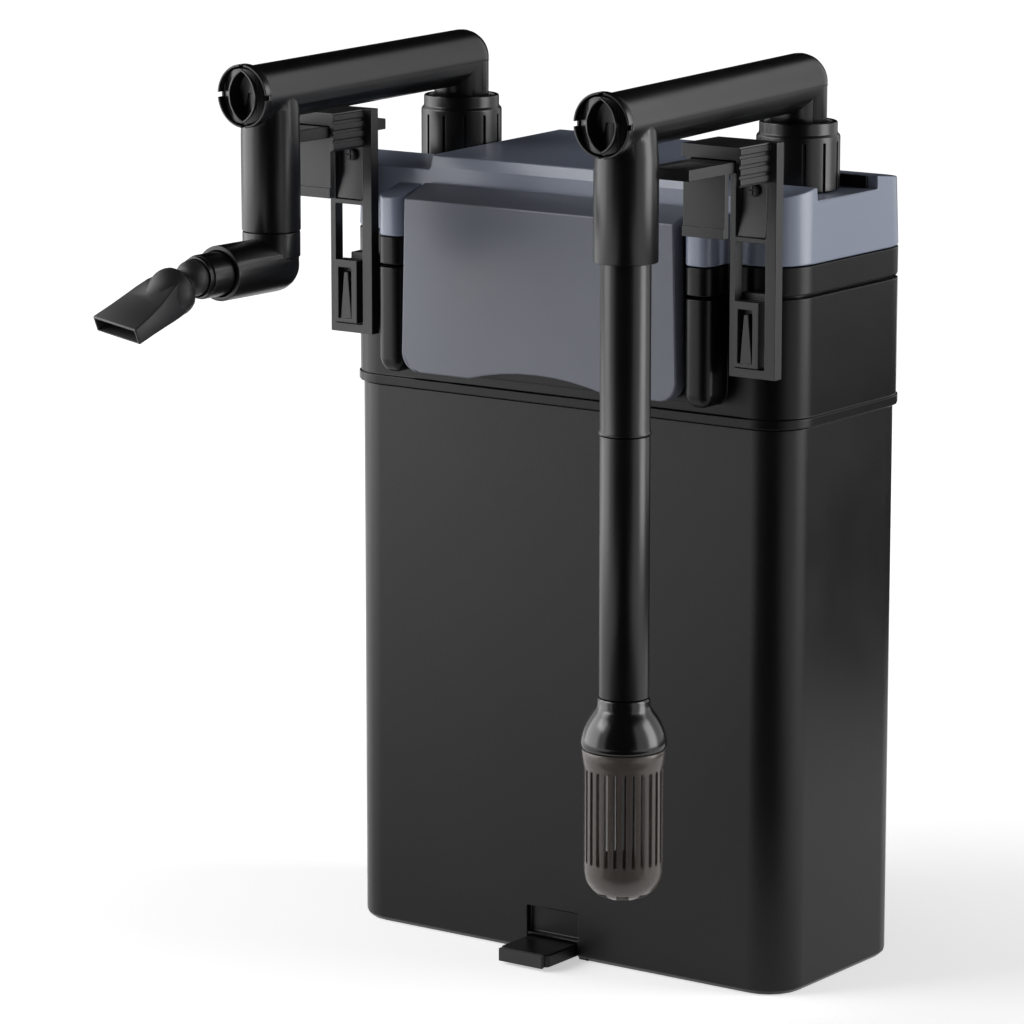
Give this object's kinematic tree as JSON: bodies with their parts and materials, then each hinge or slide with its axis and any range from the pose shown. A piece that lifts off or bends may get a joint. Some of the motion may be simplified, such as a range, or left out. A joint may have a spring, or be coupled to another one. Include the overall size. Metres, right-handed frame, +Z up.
{
  "type": "canister filter",
  "caption": "Hang-on canister filter: tall black tub, grey top cover with flap, two swinging pipe arms, strainer and duckbill nozzle, rim hooks.",
  "frame": {"origin": "middle of the tub's flat bottom face", "axes": "+Z up the tub, -Y towards the tank, +X towards the intake side"},
  "size_m": [0.1837, 0.217, 0.302],
  "materials": {
    "can_black": "satin black injection-moulded plastic",
    "head_black": "satin black injection-moulded plastic",
    "pipe_black": "black tube plastic with a soft gloss",
    "cover_grey": "blue-grey moulded plastic with a soft gloss",
    "bracket_black": "dark grey moulded plastic",
    "smoke": "smoky translucent plastic",
    "nozzle_grey": "dark grey translucent plastic",
    "rubber": "black rubber",
    "steel": "stainless steel",
    "ceramic": "white ceramic or resin",
    "resin": "potting resin",
    "ferrite": "sintered ferrite magnet",
    "basket_grey": "grey moulded plastic",
    "foam_blue": "coarse blue filter foam",
    "foam_white": "fine white filter foam",
    "carbon": "carbon granules in a net bag"
  },
  "bodies": {
    "tub": {"canister": "can_black", "media_basket_lower": "basket_grey", "coarse_sponge": "foam_blue", "fine_sponge": "foam_white", "media_basket_upper": "basket_grey", "carbon_bag": "carbon"},
    "foot": {"levelling_foot": "can_black", "foot_pad": "rubber"},
    "head": {"head_base": "head_black", "head_seal": "rubber", "head_collar": "head_black", "top_cover": "cover_grey", "bay_liner_right": "head_black", "bay_liner_left": "head_black", "flap_hinge_pin": "steel", "cable_gland": "rubber", "motor_well": "head_black", "stator_block": "resin", "impeller_cover": "head_black", "impeller_shaft": "ceramic", "shaft_bush_top": "rubber", "shaft_bush_bottom": "rubber", "intake_stub": "head_black", "outlet_stub": "head_black", "intake_riser_seal": "rubber", "outlet_riser_seal": "rubber", "drop_tube": "basket_grey", "bracket_clip_right": "bracket_black", "bracket_clip_left": "bracket_black"},
    "rotor": {"impeller": "ceramic", "rotor_magnet": "ferrite"},
    "flap": {"front_flap": "cover_grey"},
    "intake_pipe": {"intake_arm": "pipe_black"},
    "intake_nut_ring": {"intake_nut": "pipe_black"},
    "intake_plug": {"intake_end_plug": "pipe_black"},
    "intake_tube": {"intake_tube_upper": "pipe_black", "intake_tube_lower": "pipe_black", "strainer_cap": "pipe_black"},
    "strainer": {"strainer_cage": "smoke"},
    "outlet_pipe": {"outlet_arm": "pipe_black"},
    "outlet_nut_ring": {"outlet_nut": "pipe_black"},
    "outlet_plug": {"outlet_end_plug": "pipe_black"},
    "elbow": {"outlet_elbow": "pipe_black"},
    "sleeve": {"nozzle_socket": "pipe_black"},
    "spout": {"nozzle": "nozzle_grey"},
    "ladder_right": {"bracket_right": "bracket_black", "rim_pad_right": "bracket_black", "pad_screw_right": "steel"},
    "ladder_left": {"bracket_left": "bracket_black", "rim_pad_left": "bracket_black", "pad_screw_left": "steel"},
    "rim_hook_right": {"hook_right": "bracket_black"},
    "rim_hook_left": {"hook_left": "bracket_black"}
  },
  "joints": [
    {"name": "head_lift", "type": "slide", "parent": "tub", "child": "head", "axis": [0, 0, 1], "range_m": [0, 0.04]},
    {"name": "foot_slide", "type": "slide", "parent": "tub", "child": "foot", "axis": [0, -1, 0], "range_m": [-0.014, 0.008]},
    {"name": "flap_hinge", "type": "hinge", "parent": "head", "child": "flap", "pos_m": [0, -0.044, 0.2502], "axis": [-1, 0, 0], "range_deg": [0, 80]},
    {"name": "rotor_spin", "type": "hinge", "parent": "head", "child": "rotor", "pos_m": [-0.02, 0, 0.19], "axis": [0, 0, 1], "continuous": true},
    {"name": "intake_swing", "type": "hinge", "parent": "head", "child": "intake_pipe", "pos_m": [0.0668, 0, 0.27], "axis": [0, 0, 1], "range_deg": [-20, 90]},
    {"name": "intake_nut_turn", "type": "hinge", "parent": "head", "child": "intake_nut_ring", "pos_m": [0.0668, 0, 0.27], "axis": [0, 0, 1], "range_deg": [0, 90]},
    {"name": "intake_plug_turn", "type": "hinge", "parent": "intake_pipe", "child": "intake_plug", "pos_m": [0.0668, 0, 0.2928], "axis": [0.0201, -0.9994, -0.0279], "range_deg": [0, 90]},
    {"name": "intake_telescope", "type": "slide", "parent": "intake_pipe", "child": "intake_tube", "axis": [0, 0, 1], "range_m": [-0.008, 0.016]},
    {"name": "strainer_twist", "type": "hinge", "parent": "intake_tube", "child": "strainer", "pos_m": [0.06882, -0.10068, 0.09], "axis": [0, 0, 1], "range_deg": [0, 30]},
    {"name": "outlet_swing", "type": "hinge", "parent": "head", "child": "outlet_pipe", "pos_m": [-0.0668, 0, 0.27], "axis": [0, 0, -1], "range_deg": [-20, 90]},
    {"name": "outlet_nut_turn", "type": "hinge", "parent": "head", "child": "outlet_nut_ring", "pos_m": [-0.0668, 0, 0.27], "axis": [0, 0, 1], "range_deg": [0, 90]},
    {"name": "outlet_plug_turn", "type": "hinge", "parent": "outlet_pipe", "child": "outlet_plug", "pos_m": [-0.0668, 0, 0.2928], "axis": [-0.0201, -0.9994, -0.0279], "range_deg": [0, 90]},
    {"name": "elbow_swing", "type": "hinge", "parent": "outlet_pipe", "child": "elbow", "pos_m": [-0.06882, -0.10068, 0.24], "axis": [0, 0, 1], "range_deg": [-90, 90]},
    {"name": "sleeve_turn", "type": "hinge", "parent": "elbow", "child": "sleeve", "pos_m": [-0.06882, -0.10068, 0.2344], "axis": [-0.0201, -0.9998, 0], "range_deg": [-90, 90]},
    {"name": "nozzle_tilt", "type": "hinge", "parent": "sleeve", "child": "spout", "pos_m": [-0.0696, -0.13967, 0.2344], "axis": [0.9998, -0.0201, 0], "range_deg": [-10, 12]},
    {"name": "right_bracket_slide", "type": "slide", "parent": "head", "child": "ladder_right", "axis": [0, 0, -1], "range_m": [0, 0.008]},
    {"name": "left_bracket_slide", "type": "slide", "parent": "head", "child": "ladder_left", "axis": [0, 0, -1], "range_m": [0, 0.008]},
    {"name": "right_hook_slide", "type": "slide", "parent": "ladder_right", "child": "rim_hook_right", "axis": [0, 1, 0], "range_m": [0, 0.012]},
    {"name": "left_hook_slide", "type": "slide", "parent": "ladder_left", "child": "rim_hook_left", "axis": [0, 1, 0], "range_m": [-0.006, 0.005]}
  ]
}
